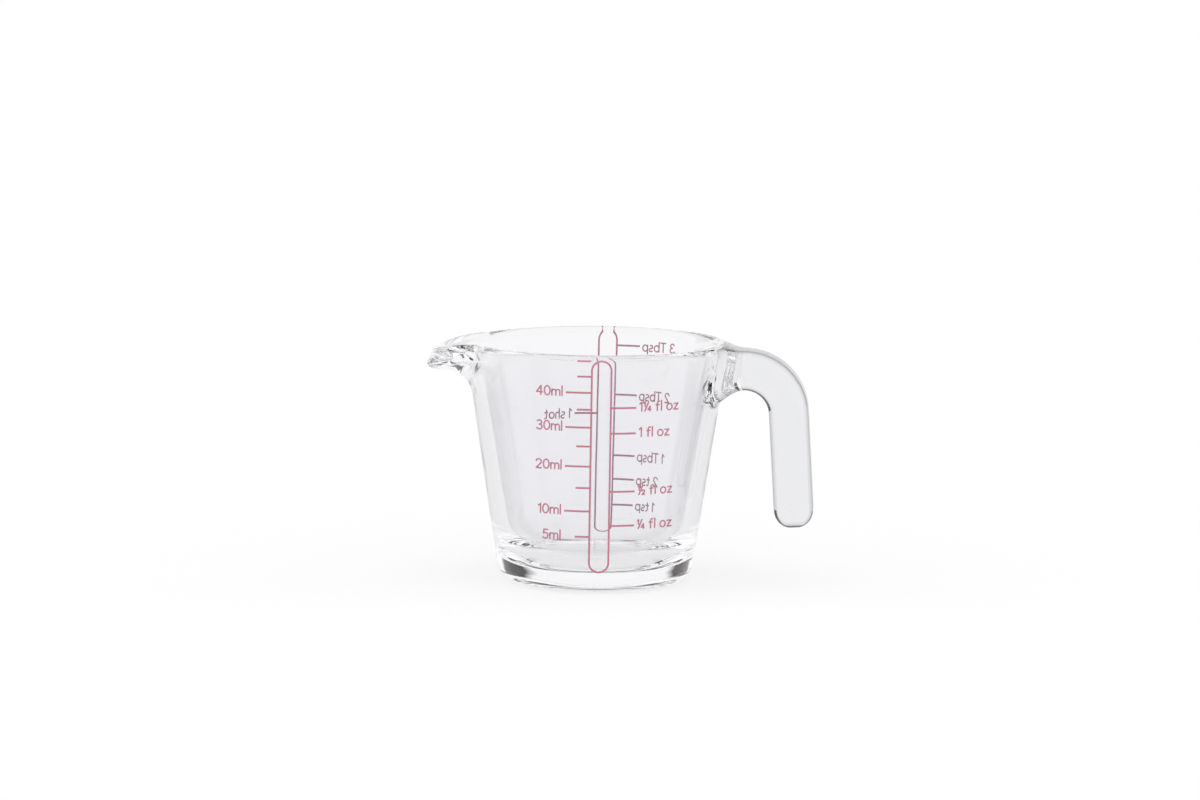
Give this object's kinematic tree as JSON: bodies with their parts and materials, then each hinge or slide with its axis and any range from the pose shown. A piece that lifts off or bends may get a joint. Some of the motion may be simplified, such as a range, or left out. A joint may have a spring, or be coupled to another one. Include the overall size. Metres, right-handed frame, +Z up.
{
  "type": "measuring jug",
  "caption": "Small clear glass measuring jug with a tapered bowl, a pouring spout, an open hooked handle and red volume scales fired on its front and back.",
  "frame": {"origin": "middle of the standing ring under the jug, on the table", "axes": "+Z up, +X towards the handle, so the spout points along -X and the front scale faces -Y"},
  "size_m": [0.0763, 0.0516, 0.0472],
  "materials": {
    "clear_glass": "clear, fire polished",
    "red_enamel": "fired enamel, satin"
  },
  "bodies": {
    "root": {"glass_body": "clear_glass", "handle": "clear_glass", "front_gauge_outline": "red_enamel", "front_ml_ticks": "red_enamel", "front_floz_ticks": "red_enamel", "back_gauge_outline": "red_enamel", "back_spoon_ticks": "red_enamel", "back_shot_tick": "red_enamel"}
  },
  "joints": []
}
